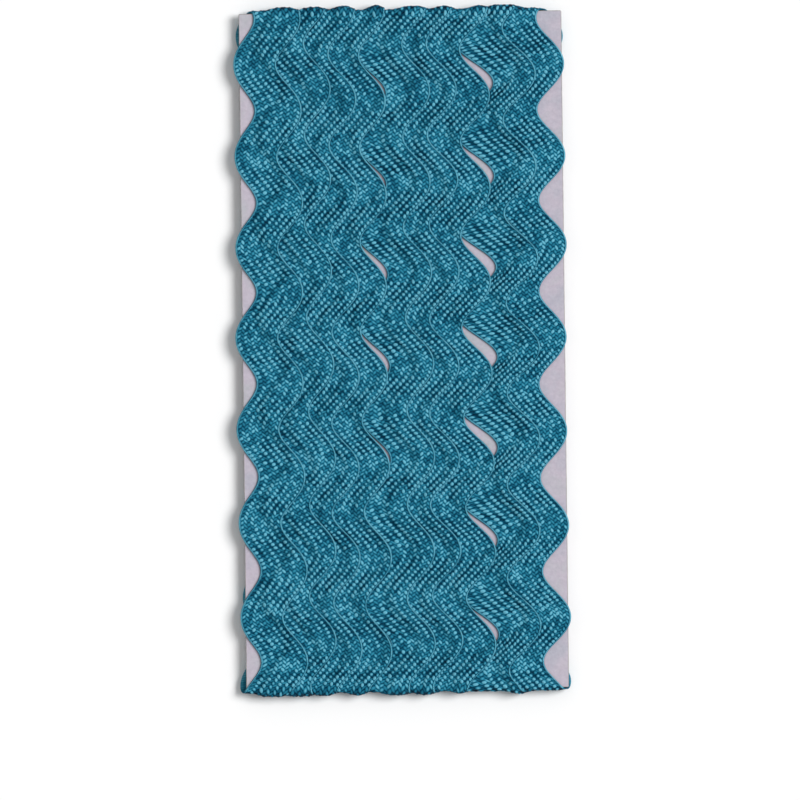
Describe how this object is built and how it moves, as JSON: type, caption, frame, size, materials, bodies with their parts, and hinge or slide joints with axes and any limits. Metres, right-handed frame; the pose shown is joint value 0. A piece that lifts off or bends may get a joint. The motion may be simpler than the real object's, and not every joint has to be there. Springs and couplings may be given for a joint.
{
  "type": "ric rac wound on a card",
  "caption": "Wavy braid trim wound lengthwise in overlapping turns round a plain flat card.",
  "frame": {"origin": "middle of the underside of the box that holds the winding, lying on its back", "axes": "+X across the turns, +Y along the turns, +Z out of the front face"},
  "size_m": [0.0612, 0.127, 0.0048],
  "materials": {
    "ric_rac": "woven",
    "card": "matte"
  },
  "bodies": {
    "root": {"ric_rac": "ric_rac", "winding_card": "card"}
  },
  "joints": []
}
